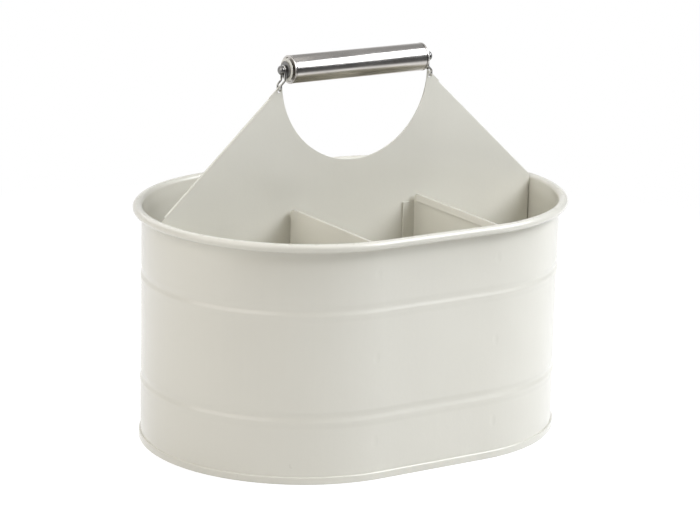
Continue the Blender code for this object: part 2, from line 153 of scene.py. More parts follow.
class DividerSettings(bpy.types.PropertyGroup):
    """Sizes of the dividers."""

    sheet: metres("Sheet", "Thickness of the steel", 0.0007)
    hem: metres("Hem", "Width of the strip folded back", 0.0041)
    hem_play: metres("Hem play", "Slit inside a fold", 0.00006)
    hem_inset: metres("Hem inset", "From the slope in to its hem", 0.0005)
    hem_lean: degrees("Hem lean", "How far the low dividers' hems stand open", 15)
    bend: metres("Bend", "Outer radius where a flange turns off", 0.0010)
    flange_margin: metres("Flange margin", "Plain edge under a flange", 0.0060)
    slope_fall: FloatProperty(name="Slope", description="Fall of the slopes for each unit out",
                              default=0.920)
    peak_width: metres("Peak width", "Cut-out to slope at the peak", 0.0015)
    peak_rise: metres("Peak rise", "Top of a peak above the rim", 0.0677)
    peak_round: metres("Peak rounding", "Radius at the top of a peak", 0.0005)
    cutout: metres("Cut-out", "Radius of the round cut-out", 0.0476)
    cutout_rise: metres("Cut-out rise", "Its centre above the peaks", 0.0019)
    hem_start: metres("Hem start", "From the peak down to the hem", 0.0090)
    hole: metres("Hole", "Radius of the hole in each peak", 0.0011)
    hole_margin: metres("Hole margin", "Cut-out to the hole's centre", 0.0017)
    hole_bar: metres("Bar", "Steel between the hole and the slope", 0.0008)
    corner: metres("Corner", "Rounded corner of the cross dividers", 0.0040)


class HandleSettings(bpy.types.PropertyGroup):
    """Sizes of the handle."""

    tube_wall: metres("Tube wall", "Thickness of the tube", 0.0008)
    edge: metres("Edge", "Rounding of the turned edges", 0.00018)
    play: metres("Play", "Between the rod and what turns on it", 0.00035)
    flange: metres("Cap flange", "Thickness of the cap's flange", 0.0008)
    ring: metres("Cap ring", "Width of the ring round the dish", 0.0011)
    dish: metres("Cap dish", "Depth of the dished face", 0.0010)
    collar: metres("Collar", "Radius of the cap's collar", 0.0032)
    collar_length: metres("Collar length", "Collar past the flange", 0.0006)
    nut_skirt: metres("Nut skirt", "Straight foot of the dome nut", 0.0005)
    link_wire: metres("Link wire", "Radius of the links' wire", 0.0006)
    link_foot: metres("Link foot", "Radius of a link round its peak", 0.0018)
    link_eye: metres("Link eye", "Radius of a link round the rod", 0.00225)


class FinishSettings(bpy.types.PropertyGroup):
    """Colours of the finishes."""

    enamel: rgb("Enamel", "Cream enamel of the sheets", (0.800, 0.782, 0.700))
    worn: rgb("Worn enamel", "Enamel where it is rubbed thin", (0.50, 0.465, 0.385))
    disc: rgb("Disc", "Enamel of the two discs", (0.780, 0.765, 0.700))
    steel: rgb("Steel", "Polished steel of the tube", (0.640, 0.615, 0.585))
    plating: rgb("Plating", "Bright plating of the links", (0.440, 0.430, 0.415))
    dull: rgb("Dull plating", "Plating of the nuts and washers", (0.240, 0.235, 0.230))


class StudioSettings(bpy.types.PropertyGroup):
    """Camera, floor and lights."""

    azimuth: degrees("Azimuth", "Camera's turn about the carrier", -32.85)
    elevation: degrees("Elevation", "Camera's height above level", 14.73)
    roll: degrees("Roll", "Camera's turn about its own line of sight", 1.39)
    place: FloatVectorProperty(name="Camera", description="Where the camera stands",
                               subtype='XYZ', unit='LENGTH', default=(-0.8692, -1.3592, 0.5243))
    lens: FloatProperty(name="Lens", description="Focal length in millimetres", default=152.6)
    shift: FloatVectorProperty(name="Shift", description="Shift of the picture in the frame",
                               size=2, default=(-0.02019, -0.01069))
    floor: rgb("Floor", "Colour of the floor", (0.69, 0.685, 0.67))
    floor_reach: metres("Floor reach", "Half the width of the floor", 12.0)
    floor_drop: metres("Floor drop", "From the carrier down to the floor", 0.0001)
    room: FloatProperty(name="Room", description="Level of the room's light", default=0.17)
    right_power: watts("Right light", "Power of the light at the right", 19.0)
    left_power: watts("Left light", "Power of the light at the left", 10.4)
    back_power: watts("Back light", "Power of the light from behind", 3.4)
    top_power: watts("Top light", "Power of the light overhead", 5.0)


# Making of meshes

def bead_offset(tub, height):
    """How far the wall stands out at a height; it is drawn in at the grooves and the neck."""
    half = tub.neck_width / 2
    neck = rim_centre(tub) - half
    steps = [(neck + half, neck, 0.0, -tub.neck_depth), (neck, neck - half, -tub.neck_depth, 0.0)]
    for top in tub.bead_heights:
        groove = top - tub.groove_run
        ridge = groove - tub.ridge_run
        steps += [(top, groove, 0.0, -tub.groove_depth),
                  (groove, ridge, -tub.groove_depth, tub.ridge_height),
                  (ridge, ridge - tub.foot_run, tub.ridge_height, 0.0)]
    for high, low, start, end in steps:
        if low <= height < high:
            return start + (end - start) * (1 - cos(pi * (high - height) / (high - low))) / 2
    return 0.0


def rim_centre(tub):
    """Height of the middle of the rolled rim."""
    return WALL_HIGH.z - tub.rim / 2


def end_radius(tub):
    """Outside of the wall at its round ends."""
    return WALL_HIGH.y - (tub.rim - tub.sheet)


def sweep_oval(profile, radius, steps=96):
    """Sweep an open profile of (outward, up) points round the oval plan of the tub."""
    work = bmesh.new()
    verts = [work.verts.new((HALF_STRAIGHT, -(radius + out), up)) for out, up in profile]
    edges = [work.edges.new(pair) for pair in zip(verts, verts[1:])]
    spun = bmesh.ops.spin(work, geom=verts + edges, cent=(HALF_STRAIGHT, 0, 0), axis=(0, 0, 1),
                          angle=pi, steps=steps)
    last = [part for part in spun["geom_last"] if isinstance(part, bmesh.types.BMEdge)]
    for side in (edges, last):
        drawn = bmesh.ops.extrude_edge_only(work, edges=side)["geom"]
        moved = [part for part in drawn if isinstance(part, bmesh.types.BMVert)]
        bmesh.ops.translate(work, verts=moved, vec=(-HALF_STRAIGHT, 0, 0))
    everything = work.verts[:] + work.edges[:] + work.faces[:]
    bmesh.ops.mirror(work, geom=everything, matrix=Matrix(), merge_dist=TINY, axis='X')
    bmesh.ops.recalc_face_normals(work, faces=work.faces[:])
    return work


def face_outwards(work, point, direction):
    """Turn an open surface over if its face nearest to a point looks away from a direction."""
    probe = min(work.faces, key=lambda face: (face.calc_center_median() - point).length)
    if probe.normal.dot(Vector(direction)) < 0:
        bmesh.ops.reverse_faces(work, faces=work.faces[:])


def rounded(points, radius, steps=4, closed=False):
    """Replace the corners of an outline by arcs; the ends of an open one stay."""
    spots = [Vector(point) for point in points]
    count = len(spots)
    result = []
    for index, spot in enumerate(spots):
        if not closed and index in (0, count - 1):
            result.append(tuple(spot))
            continue
        before = spots[index - 1] - spot
        after = spots[(index + 1) % count] - spot
        half = before.angle(after) / 2
        if half > STRAIGHT / 2:
            result.append(tuple(spot))
            continue
        reach = min(radius / max(sin(half) / cos(half), TINY), before.length / 2,
                    after.length / 2)
        bend = reach * sin(half) / cos(half)
        back, ahead = before.normalized(), after.normalized()
        centre = spot + (back + ahead).normalized() * hypot(reach, bend)
        start = spot + back * reach - centre
        turn = start.angle_signed(spot + ahead * reach - centre)
        for step in range(steps + 1):
            arm = start.copy()
            arm.rotate(Matrix.Rotation(-turn * step / steps, 2))
            result.append(tuple(centre + arm))
    return result


def arc(centre, radius, start, end, steps):
    """Points along an arc, both ends included."""
    points = []
    for step in range(steps + 1):
        angle = start + (end - start) * step / steps
        points.append((centre[0] + radius * cos(angle), centre[1] + radius * sin(angle)))
    return points


def turn_about_rod(profile, side, steps=96):
    """Turn an outline of (along, radius) points about the rod; side -1 faces it to -X."""
    work = bmesh.new()
    verts = [work.verts.new((side * along, 0, GRIP_HEIGHT + radius)) for along, radius in profile]
    edges = [work.edges.new(pair) for pair in zip(verts, verts[1:])]
    if min(profile[0][1], profile[-1][1]) > 0:
        edges.append(work.edges.new((verts[-1], verts[0])))
    bmesh.ops.spin(work, geom=verts + edges, cent=(0, 0, GRIP_HEIGHT), axis=(1, 0, 0),
                   angle=2 * pi, steps=steps, use_merge=True)
    bmesh.ops.remove_doubles(work, verts=work.verts[:], dist=TINY)
    bmesh.ops.recalc_face_normals(work, faces=work.faces[:])
    return work


def outline_face(work, points):
    """Fill a closed outline of 3D points with one flat face."""
    verts = [work.verts.new(point) for point in points]
    edges = [work.edges.new(pair) for pair in zip(verts, verts[1:] + verts[:1])]
    bmesh.ops.contextual_create(work, geom=edges)
    return verts


def fold_edge(work, verts, centre, axis, angle, run, steps=8):
    """Fold the sheet on from the edge between two vertices, and run it straight on from there."""
    edge = work.edges.get(verts)
    spun = bmesh.ops.spin(work, geom=[edge, *verts], cent=centre, axis=axis, angle=angle,
                          steps=steps)
    last = [part for part in spun["geom_last"] if isinstance(part, bmesh.types.BMEdge)]
    drawn = bmesh.ops.extrude_edge_only(work, edges=last)["geom"]
    moved = [part for part in drawn if isinstance(part, bmesh.types.BMVert)]
    bmesh.ops.translate(work, verts=moved, vec=run)


def add_piece(name, work, material, body, node):
    """Make a piece of a bmesh; it rides on a body and stands for the plain solid of a node."""
    mesh = bpy.data.meshes.new(name)
    work.to_mesh(mesh)
    work.free()
    piece = bpy.data.objects.new(name, mesh)
    bpy.context.scene.collection.objects.link(piece)
    finish_mesh(mesh, material)
    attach(piece, body)
    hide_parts(node)
    return piece


def finish_mesh(mesh, material):
    """Give a mesh its material and smooth shading."""
    mesh.materials.clear()
    mesh.materials.append(material)
    mesh.shade_smooth()
    mesh.set_sharp_from_angle(angle=CREASE)


def thicken(piece, thickness):
    """Give an open sheet its thickness on the side away from its normals."""
    solid = piece.modifiers.new("sheet", 'SOLIDIFY')
    solid.thickness = thickness
    solid.offset = -1.0
    solid.use_even_offset = True
    solid.use_quality_normals = True


def soften(piece, width):
    """Round the sharp edges of a piece and even out its shading."""
    bevel = piece.modifiers.new("edges", 'BEVEL')
    bevel.width = width
    bevel.segments = 3
    bevel.profile = 0.5
    bevel.limit_method = 'ANGLE'
    bevel.angle_limit = BEVELLED
    shading = piece.modifiers.new("shading", 'WEIGHTED_NORMAL')
    shading.keep_sharp = False


def settle(piece):
    """Apply a piece's modifiers."""
    graph = bpy.context.evaluated_depsgraph_get()
    mesh = bpy.data.meshes.new_from_object(piece.evaluated_get(graph))
    mesh.name = piece.name
    if not mesh.has_custom_normals:
        mesh.set_sharp_from_angle(angle=CREASE)
    piece.modifiers.clear()
    piece.data = mesh


def drill(piece, places, radius, length=0.02):
    """Drill round holes along Y through a piece."""
    work = bmesh.new()
    for along, up in places:
        matrix = Matrix.Translation((along, 0, up)) @ Matrix.Rotation(pi / 2, 4, 'X')
        bmesh.ops.create_cone(work, cap_ends=True, segments=48, radius1=radius, radius2=radius,
                              depth=length, matrix=matrix)
    mesh = bpy.data.meshes.new("drill")
    work.to_mesh(mesh)
    work.free()
    tool = bpy.data.objects.new("drill", mesh)
    bpy.context.scene.collection.objects.link(tool)
    cut = piece.modifiers.new("holes", 'BOOLEAN')
    cut.operation = 'DIFFERENCE'
    cut.solver = 'EXACT'
    cut.object = tool
    settle(piece)
    bpy.data.objects.remove(tool, do_unlink=True)


# Finishes

def add_node(tree, kind, inputs=None, **settings):
    """Add a shader node, with its inputs, by name or place, set to values or joined to sockets."""
    node = tree.nodes.new(kind)
    for name, value in settings.items():
        setattr(node, name, value)
    for name, value in (inputs or {}).items():
        if isinstance(value, bpy.types.NodeSocket):
            tree.links.new(value, node.inputs[name])
        else:
            node.inputs[name].default_value = value
    return node


def start_material(name):
    """Return a new material with its node tree, its shader and its object coordinates."""
    material = bpy.data.materials.new(name)
    material.use_nodes = True
    tree = material.node_tree
    place = add_node(tree, "ShaderNodeTexCoord").outputs["Object"]
    return material, tree, tree.nodes["Principled BSDF"], place


def noise(tree, place, scale, detail=2.0, roughness=0.5, stretch=(1.0, 1.0, 1.0)):
    """Return a noise value between 0 and 1, stretched along the axes where asked."""
    mapped = add_node(tree, "ShaderNodeMapping", {"Vector": place, "Scale": stretch})
    made = add_node(tree, "ShaderNodeTexNoise",
                    {"Vector": mapped.outputs["Vector"], "Scale": scale, "Detail": detail,
                     "Roughness": roughness})
    return made.outputs["Fac"]


def spread(tree, value, low, high, from_low=0.3, from_high=0.7):
    """Map a noise value to a range."""
    made = add_node(tree, "ShaderNodeMapRange",
                    {"Value": value, "From Min": from_low, "From Max": from_high,
                     "To Min": low, "To Max": high})
    return made.outputs["Result"]


def blend_colours(tree, share, first, second):
    """Mix two colours by a share, through the places that a Mix node keeps for colours."""
    made = add_node(tree, "ShaderNodeMix", {0: share, 6: first, 7: second}, data_type='RGBA')
    return made.outputs[2]


def shade(colour, factor):
    """A colour made lighter or darker, with full alpha."""
    return (*(channel * factor for channel in colour), 1.0)


def add_bumps(tree, shader, layers):
    """Chain bump nodes of (height, distance) layers into the shader."""
    normal = None
    for height, distance in layers:
        inputs = {"Height": height, "Distance": distance, "Strength": 1.0}
        if normal is not None:
            inputs["Normal"] = normal
        normal = add_node(tree, "ShaderNodeBump", inputs).outputs["Normal"]
    tree.links.new(normal, shader.inputs["Normal"])


def dress_shader(tree, shader, tone, roughness, metallic=0.0):
    """Give a shader its colour, its roughness and its share of metal."""
    tree.links.new(tone, shader.inputs["Base Color"])
    tree.links.new(roughness, shader.inputs["Roughness"])
    shader.inputs["Metallic"].default_value = metallic


def math_node(tree, operation, first, second=0.0):
    """Return the result of a sum on sockets or numbers."""
    made = add_node(tree, "ShaderNodeMath", {0: first, 1: second}, operation=operation)
    return made.outputs[0]


def make_enamel(name, colour, rubbed=None, welds=False):
    """Stoved enamel on sheet steel: soft gloss, orange peel and broad waves.

    It is rubbed a little from one height, where nothing shows, to another, where it is thinnest.
    """
    material, tree, shader, place = start_material(name)
    broad = noise(tree, place, 11.0)
    cloudy = noise(tree, place, 46.0, 4.0, 0.6)
    drawn = noise(tree, place, 420.0, 3.0, 0.6, (1.0, 1.0, 0.035))
    peel = noise(tree, place, 720.0, 1.0)
    tone = blend_colours(tree, spread(tree, broad, 0.0, 1.0), shade(colour, 0.985),
                         shade(colour, 1.015))
    tone = blend_colours(tree, spread(tree, drawn, 0.0, 0.10), tone, shade(colour, 0.93))
    specks = add_node(tree, "ShaderNodeTexVoronoi", {"Vector": place, "Scale": 210.0})
    speck = spread(tree, specks.outputs["Distance"], 0.20, 0.0, 0.02, 0.05)
    tone = blend_colours(tree, speck, tone, shade(colour, 0.84))
    gloss = spread(tree, cloudy, 0.25, 0.39, 0.15, 0.85)
    if rubbed:
        height = add_node(tree, "ShaderNodeSeparateXYZ", {0: place}).outputs["Z"]
        chips = noise(tree, place, 310.0, 4.0, 0.7)
        wear = math_node(tree, 'MULTIPLY', spread(tree, height, 0.0, 1.0, *rubbed),
                         spread(tree, chips, 0.0, 0.5, 0.52, 0.68))
        worn = shade(bpy.context.scene.carrier_finish.worn, 1.0)
        tone = blend_colours(tree, wear, tone, worn)
        gloss = math_node(tree, 'ADD', gloss, math_node(tree, 'MULTIPLY', wear, 0.25))
    dress_shader(tree, shader, tone, gloss)
    shader.inputs["IOR"].default_value = 1.52
    shader.inputs["Coat Weight"].default_value = 0.65
    shader.inputs["Coat Roughness"].default_value = 0.11
    layers = [(broad, 0.0030), (cloudy, 0.00016), (peel, 0.000022)]
    if welds:
        layers.append((weld_marks(tree, place), 0.00016))
    add_bumps(tree, shader, layers)
    return material


def weld_marks(tree, place):
    """Shallow dimples where the low dividers are spot-welded to the wall; 0 in their middles."""
    apart = add_node(tree, "ShaderNodeSeparateXYZ", {0: place}).outputs
    along = math_node(tree, 'SUBTRACT', math_node(tree, 'ABSOLUTE', apart["X"]), WELD_REACH)
    rise = math_node(tree, 'SUBTRACT', apart["Z"], WELD_LOW)
    up = math_node(tree, 'PINGPONG', rise, WELD_STEP / 2)
    stretched = math_node(tree, 'MULTIPLY', up, WELD_STRETCH)
    joined = add_node(tree, "ShaderNodeCombineXYZ", {0: along, 2: stretched})
    far = add_node(tree, "ShaderNodeVectorMath", {0: joined.outputs[0]}, operation='LENGTH')
    return spread(tree, far.outputs["Value"], 0.0, 1.0, WELD_MIDDLE, WELD_EDGE)


def make_polished_steel(name, colour):
    """Tube polished to a satin: fine rings round its axis and soft smears along it."""
    material, tree, shader, place = start_material(name)
    rings = noise(tree, place, 60.0, 4.0, 0.7, (90.0, 1.0, 1.0))
    smears = noise(tree, place, 230.0, 4.0, 0.65, (0.16, 1.0, 1.0))
    haze = noise(tree, place, 120.0, 4.0, 0.6, (0.5, 1.0, 1.0))
    tone = blend_colours(tree, spread(tree, smears, 0.0, 1.0), shade(colour, 0.86),
                         shade(colour, 1.06))
    dress_shader(tree, shader, tone, spread(tree, haze, 0.18, 0.27), 1.0)
    add_bumps(tree, shader, [(rings, 0.0000025), (smears, 0.00003), (haze, 0.00002)])
    return material


def make_plating(name, colour, low, high):
    """Plating over small turned and bent pieces; its roughness wavers from low to high."""
    material, tree, shader, place = start_material(name)
    haze = noise(tree, place, 500.0, 3.0)
    grain = noise(tree, place, 2600.0)
    tone = blend_colours(tree, spread(tree, haze, 0.0, 1.0), shade(colour, 0.88),
                         shade(colour, 1.06))
    dress_shader(tree, shader, tone, spread(tree, haze, low, high), 1.0)
    add_bumps(tree, shader, [(grain, 0.000006)])
    return material


def make_floor_finish(name, colour):
    """Plain matt floor: white to look at, with the carrier's shadow faint on it.

    Metal and gloss see it white near the carrier, and dark farther out in front, where the
    studio is unlit. The ranges are distances from the carrier's middle, the last one along Y.
    """
    shadow_range = (0.25, 0.60)
    unlit_range = (0.38, 0.62)
    front_range = (-0.30, -0.05)
    material, tree, matt, place = start_material(name)
    cloudy = noise(tree, place, 3.0)
    tone = blend_colours(tree, cloudy, shade(colour, 0.998), shade(colour, 1.002))
    tree.links.new(tone, matt.inputs["Base Color"])
    matt.inputs["Roughness"].default_value = 0.9
    matt.inputs["Specular IOR Level"].default_value = 0.0
    reach = add_node(tree, "ShaderNodeVectorMath", {0: place}, operation='LENGTH').outputs["Value"]
    away = spread(tree, reach, 0.0, 1.0, *shadow_range)
    front = add_node(tree, "ShaderNodeSeparateXYZ", {0: place}).outputs["Y"]
    unlit = math_node(tree, 'MULTIPLY', spread(tree, reach, 0.0, 0.90, *unlit_range),
                      spread(tree, front, 1.0, 0.0, *front_range))
    unlit = math_node(tree, 'MULTIPLY', unlit,
                      add_node(tree, "ShaderNodeLightPath").outputs["Is Glossy Ray"])
    level = math_node(tree, 'MULTIPLY', spread(tree, away, 0.86, 1.0, 0.0, 1.0),
                      math_node(tree, 'SUBTRACT', 1.0, unlit))
    white = add_node(tree, "ShaderNodeEmission", {"Strength": level})
    grey = blend_colours(tree, away, (0.30, 0.30, 0.30, 1.0), (0.0, 0.0, 0.0, 1.0))
    shadow = add_node(tree, "ShaderNodeBsdfDiffuse", {"Color": grey})
    seen = add_node(tree, "ShaderNodeAddShader", {0: shadow.outputs[0], 1: white.outputs[0]})
    mixed = add_node(tree, "ShaderNodeMixShader",
                     {0: seen_rays(tree), 1: matt.outputs[0], 2: seen.outputs[0]})
    tree.links.new(mixed.outputs[0], tree.nodes["Material Output"].inputs["Surface"])
    return material


def mirrored_rays(tree, path):
    """1 for a ray from a mirror or a glass, 0 for any other."""
    return math_node(tree, 'MAXIMUM', path["Is Glossy Ray"], path["Is Transmission Ray"])


def seen_rays(tree):
    """1 for a ray from the camera, a mirror or a glass, 0 for one that only carries light."""
    path = add_node(tree, "ShaderNodeLightPath").outputs
    return math_node(tree, 'MAXIMUM', path["Is Camera Ray"], mirrored_rays(tree, path))


def finish_of(name):
    """The finish of that name, made when it is first asked for.

    After its colour stand an enamel's heights where it is rubbed least and most, and whether it
    shows the welds, or a plating's least and most roughness.
    """
    colours = bpy.context.scene.carrier_finish
    made = bpy.data.materials.get(name)
    if made:
        return made
    make, *values = {
        "cream_enamel": (make_enamel, colours.enamel),
        "wall_enamel": (make_enamel, colours.enamel, (WALL_HIGH.z - 0.0005, WALL_HIGH.z), True),
        "base_enamel": (make_enamel, colours.enamel, (0.0007, 0.0)),
        "low_enamel": (make_enamel, colours.enamel, (CROSS_HIGH.z - 0.0004, CROSS_HIGH.z)),
        "disc_enamel": (make_enamel, colours.disc),
        "polished_steel": (make_polished_steel, colours.steel),
        "plated_steel": (make_plating, colours.plating, 0.12, 0.22),
        "dull_plating": (make_plating, colours.dull, 0.26, 0.38),
        "cap_steel": (make_plating, colours.steel, 0.24, 0.34),
    }[name]
    return make(name, *values)


# Operators

class CARRIER_OT_make_wall(bpy.types.Operator):
    """Make the wall of the tub with its two beads and rolled rim"""

    bl_idname = "carrier.make_wall"
    bl_label = "Wall"

    def execute(self, context):
        tub = context.scene.carrier_tub
        curl = tub.rim / 2 - tub.sheet - TINY
        fall = tub.groove_run + tub.ridge_run + tub.foot_run
        fine, coarse = 36, 8  # steps along a bead or the curl, and along the neck
        heights = [WALL_LOW.z]
        for top in tub.bead_heights:
            heights += [top - fall * (1 - step / fine) for step in range(fine + 1)]
        neck = rim_centre(tub) - tub.neck_width
        heights += [neck + tub.neck_width * step / coarse for step in range(coarse)]
        profile = [(bead_offset(tub, height), height) for height in heights]
        profile += [(curl + across, WALL_HIGH.z - (WALL_HIGH.z - up) * tub.rim_squash)
                    for across, up in arc((0, rim_centre(tub)), curl, pi, tub.curl_end, fine)]
        work = sweep_oval(profile, end_radius(tub))
        face_outwards(work, Vector((0, -end_radius(tub), WALL_HIGH.z / 2)), (0, -1, 0))
        wall = add_piece("wall", work, finish_of("wall_enamel"), "tub",
                         "tub_wall")
        thicken(wall, tub.sheet)
        settle(wall)
        return {'FINISHED'}


class CARRIER_OT_make_base(bpy.types.Operator):
    """Make the raised base with its rim folded round the foot of the wall"""

    bl_idname = "carrier.make_base"
    bl_label = "Base"

    def execute(self, context):
        tub = context.scene.carrier_tub
        sheet = BASE_HIGH.y - end_radius(tub) - tub.seam_gap
        inner = -(tub.sheet + tub.seam_gap + sheet)
        outer = tub.seam_gap + sheet
        rise = BASE_HIGH.z - sheet
        seam = rise - tub.seam_gap
        corners = [(inner - 2 * tub.fold, rise), (inner, rise), (inner, BASE_LOW.z),
                   (outer, BASE_LOW.z), (outer, seam - tub.roll)]
        profile = rounded(corners, tub.fold)
        profile += arc((outer - tub.roll, seam - tub.roll), tub.roll, 0, pi / 2, steps=10)[1:]
        work = sweep_oval(profile, end_radius(tub))
        face_outwards(work, Vector((0, -BASE_HIGH.y, seam / 2)), (0, -1, 0))
        edges = [edge for edge in work.edges
                 if edge.is_boundary and all(vert.co.z > seam + tub.seam_gap / 2
                                             for vert in edge.verts)]
        panel = bmesh.ops.contextual_create(work, geom=edges)["faces"]
        if panel[0].normal.z > 0:
            bmesh.ops.reverse_faces(work, faces=panel)
        bmesh.ops.inset_region(work, faces=panel, thickness=tub.panel_margin,
                               use_even_offset=True)
        base = add_piece("base", work, finish_of("base_enamel"), "tub",
                         "base_pan")
        thicken(base, sheet)
        soften(base, sheet / 3)
        settle(base)
        return {'FINISHED'}


class CARRIER_OT_make_centre_divider(bpy.types.Operator):
    """Make the tall divider with its peaks, round cut-out, hems and end flanges"""

    bl_idname = "carrier.make_centre_divider"
    bl_label = "Centre divider"

    def execute(self, context):
        part = context.scene.carrier_divider
        tub = context.scene.carrier_tub
        slant = hypot(1.0, part.slope_fall)
        normal = Vector((part.slope_fall, 1.0)) / slant
        downhill = Vector((1.0, -part.slope_fall)) / slant
        peak = Vector((part.cutout + part.peak_width, WALL_HIGH.z + part.peak_rise))
        centre = peak.y + part.cutout_rise
        inside = end_radius(tub) - tub.sheet
        end = HALF_STRAIGHT + inside - tub.seam_gap
        low = CENTRE_LOW.z + part.flange_margin
        high = rim_centre(tub) - tub.rim / 2 - tub.seam_gap

        def slope(reach):
            """Height of the sloping edge at a distance from the middle."""
            return peak.y - part.slope_fall * (reach - peak.x)

        # Middle of the rounding that touches both the slope and the cut-out, by trial
        tries = 20
        tip = Vector((part.cutout + part.peak_round, peak.y))
        for _ in range(tries):
            tip.y = slope(tip.x) - part.peak_round * slant
            tip.x = sqrt((part.cutout + part.peak_round) ** 2 - (tip.y - centre) ** 2)
        start = atan2(tip.y - centre, tip.x)
        thick = part.sheet + part.hem_play / 2
        drop = thick + part.hem_inset
        hem_top = peak + downhill * part.hem_start
        hem_low = Vector((end - thick, slope(end - thick)))
        outline = [(0, CENTRE_LOW.z), (end, CENTRE_LOW.z), (end, low), (end - part.bend, low),
                   (end - part.bend, high), (end, high), (end, slope(end) - drop * slant),
                   hem_low - normal * drop, hem_top - normal * drop, hem_top]
        outline += arc(tip, part.peak_round, atan2(normal.y, normal.x), start + pi, steps=6)
        outline += arc((0, centre), part.cutout, start, -pi / 2, steps=60)[1:]
        front = CENTRE_LOW.y
        work = bmesh.new()
        verts = outline_face(work, [(along, front, up) for along, up in outline])
        # Edges of the outline that the flange and the hem go on from
        flange, hem = verts[3:5], verts[7:9]
        fold_edge(work, hem, (*(hem[0].co + Vector((0, thick, 0))),),
                  (-downhill.x, 0, -downhill.y), pi,
                  Vector((-normal.x, 0, -normal.y)) * (part.hem - drop))
        turned_in = sqrt(inside ** 2 - CENTRE_HIGH.y ** 2) - inside
        fold_edge(work, flange, (end - part.bend, front + part.bend, 0), (0, 0, 1), pi / 2,
                  (turned_in, CENTRE_HIGH.y - front - part.bend, 0))
        everything = work.verts[:] + work.edges[:] + work.faces[:]
        bmesh.ops.mirror(work, geom=everything, matrix=Matrix(), merge_dist=TINY, axis='X')
        middle = [edge for edge in work.edges
                  if len(edge.link_faces) == 2 and all(abs(vert.co.x) < TINY
                                                       for vert in edge.verts)]
        bmesh.ops.dissolve_edges(work, edges=middle, use_verts=True)
        bmesh.ops.recalc_face_normals(work, faces=work.faces[:])
        face_outwards(work, Vector((0, front, WALL_HIGH.z / 2)), (0, -1, 0))
        divider = add_piece("tall_divider", work, finish_of("cream_enamel"),
                            "tub", "centre_divider")
        thicken(divider, part.sheet)
        reach = part.cutout + part.hole_margin
        hole_height = slope(reach) - (part.hole_bar + part.hole) * slant
        drill(divider, [(-reach, hole_height), (reach, hole_height)], part.hole)
        soften(divider, part.sheet / 5)
        settle(divider)
        return {'FINISHED'}


class CARRIER_OT_make_cross_dividers(bpy.types.Operator):
    """Make the four low dividers, hemmed and flanged towards the middle"""

    bl_idname = "carrier.make_cross_dividers"
    bl_label = "Cross dividers"

    def execute(self, context):
        part = context.scene.carrier_divider
        plain, top = CROSS_HIGH.x, CROSS_HIGH.z
        inner, outer = CROSS_LOW.y, CROSS_HIGH.y
        bend, corner = part.bend, part.corner
        thick = part.sheet + part.hem_play / 2
        low = CROSS_LOW.z + part.flange_margin
        high = top - corner - part.sheet
        outline = [(inner, CROSS_LOW.z), (outer, CROSS_LOW.z), (outer, low), (outer - bend, low),
                   (outer - bend, high - part.hem), (outer, high - part.hem), (outer, top),
                   (outer - bend, top), (outer - bend, top - thick),
                   (inner + corner, top - thick), (inner + corner, top)]
        outline += arc((inner + corner, top - corner), corner, pi / 2, pi, steps=12)[1:]
        outline += [(inner, high), (inner + bend, high), (inner + bend, low), (inner, low)]
        strip = Vector((-sin(part.hem_lean), 0, -cos(part.hem_lean))) * (part.hem - thick)
        run = (-(plain - CROSS_LOW.x - bend), 0, 0)
        for x_side, x_word in ((-1, "left"), (1, "right")):
            for y_side, y_word in ((-1, "front"), (1, "back")):
                work = bmesh.new()
                verts = outline_face(work, [(plain, along, up) for along, up in outline])
                # The hem, the outer and the inner flange go on from edges of the outline
                fold_edge(work, verts[8:10], (plain - thick, 0, top - thick), (0, -1, 0),
                          pi - part.hem_lean, strip)
                fold_edge(work, verts[3:5], (plain - bend, outer - bend, 0), (0, 0, 1), pi / 2,
                          run)
                fold_edge(work, verts[-3:-1], (plain - bend, inner + bend, 0), (0, 0, -1),
                          pi / 2, run)
                bmesh.ops.scale(work, verts=work.verts[:], vec=(x_side, y_side, 1))
                bmesh.ops.recalc_face_normals(work, faces=work.faces[:])
                middle = Vector((x_side * plain, y_side * (inner + outer) / 2, top / 2))
                face_outwards(work, middle, (x_side, 0, 0))
                name = f"low_divider_{y_word}_{x_word}"
                divider = add_piece(name, work, finish_of("low_enamel"), "tub",
                                    f"cross_divider_{y_word}_{x_word}")
                thicken(divider, part.sheet)
                soften(divider, part.sheet / 5)
                settle(divider)
        return {'FINISHED'}


class CARRIER_OT_make_grip(bpy.types.Operator):
    """Make the steel tube and its two caps"""

    bl_idname = "carrier.make_grip"
    bl_label = "Grip"

    def execute(self, context):
        part = context.scene.carrier_handle
        outside = TUBE_HIGH.z - GRIP_HEIGHT
        inside = outside - part.tube_wall
        half = TUBE_HIGH.x
        tube = [(-half, inside), (half, inside), (half, outside), (-half, outside)]
        work = turn_about_rod(rounded(tube, part.edge, closed=True), 1, steps=128)
        add_piece("tube", work, finish_of("polished_steel"), "grip", "grip_tube")
        bore = ROD_HIGH.z - GRIP_HEIGHT + part.play
        lip = CAP_HIGH.z - GRIP_HEIGHT
        plug = inside - part.play
        face = CAP_HIGH.x - part.collar_length
        floor = face - part.dish
        back = face - part.flange
        cap = [(CAP_LOW.x, bore), (CAP_LOW.x, plug), (back, plug), (back, lip), (face, lip),
               (face, lip - part.ring), (floor, lip - part.ring - part.edge),
               (floor, part.collar), (CAP_HIGH.x, part.collar), (CAP_HIGH.x, bore)]
        for side, word in ((-1, "left"), (1, "right")):
            add_piece(f"cap_{word}", turn_about_rod(rounded(cap, part.edge, closed=True), side),
                      finish_of("cap_steel"), "grip", f"end_cap_{word}")
        return {'FINISHED'}


